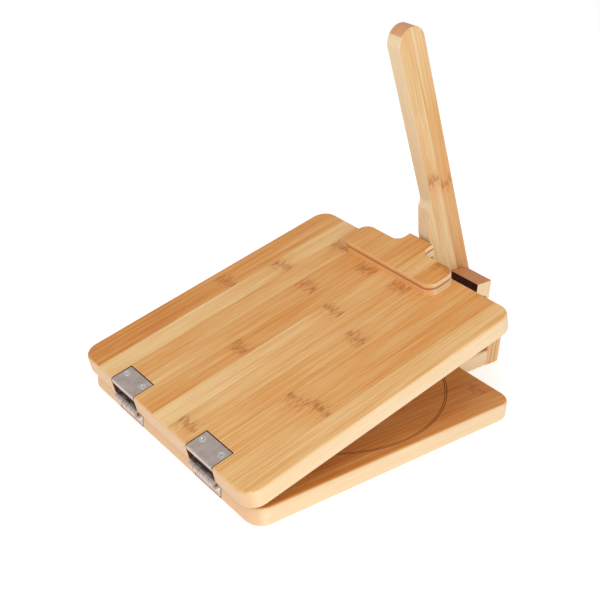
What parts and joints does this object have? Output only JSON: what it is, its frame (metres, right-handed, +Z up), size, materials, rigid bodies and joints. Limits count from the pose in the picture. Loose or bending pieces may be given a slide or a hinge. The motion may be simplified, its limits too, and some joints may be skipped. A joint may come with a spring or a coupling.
{
  "type": "hand-operated dough press",
  "caption": "Hand press of two hinged bamboo boards with a cam lever between rear uprights that bears on the lid's pressure pad.",
  "frame": {"origin": "centre of the base board's underside, on the surface that the press stands on", "axes": "+X from the hinges to the lever bracket, +Y across the press, +Z up"},
  "size_m": [0.3035, 0.215, 0.2803],
  "materials": {
    "bamboo": "satin",
    "pale_bamboo": "satin",
    "hinge_steel": "satin",
    "steel": "satin"
  },
  "bodies": {
    "base": {"base_board": "bamboo", "left_upright": "pale_bamboo", "right_upright": "pale_bamboo", "back_plate": "bamboo", "pivot_pin": "steel", "lever_washers": "steel", "upright_screws": "steel", "back_plate_screws": "steel", "left_base_leaf": "hinge_steel", "right_base_leaf": "hinge_steel", "left_hinge_pin": "steel", "right_hinge_pin": "steel", "left_base_leaf_screws": "steel", "right_base_leaf_screws": "steel"},
    "lid": {"lid_board": "bamboo", "pressure_pad": "bamboo", "pad_dowels": "pale_bamboo", "left_lid_leaf": "hinge_steel", "right_lid_leaf": "hinge_steel", "left_lid_leaf_screws": "steel", "right_lid_leaf_screws": "steel"},
    "lever": {"lever": "bamboo"}
  },
  "joints": [
    {"name": "lid_hinge", "type": "hinge", "parent": "base", "child": "lid", "pos_m": [-0.1245, 0, 0.0135], "axis": [0, -1, 0], "range_deg": [-16, 84]},
    {"name": "lever_pivot", "type": "hinge", "parent": "base", "child": "lever", "pos_m": [0.152, 0, 0.06], "axis": [0, -1, 0], "range_deg": [-110, 0]}
  ]
}
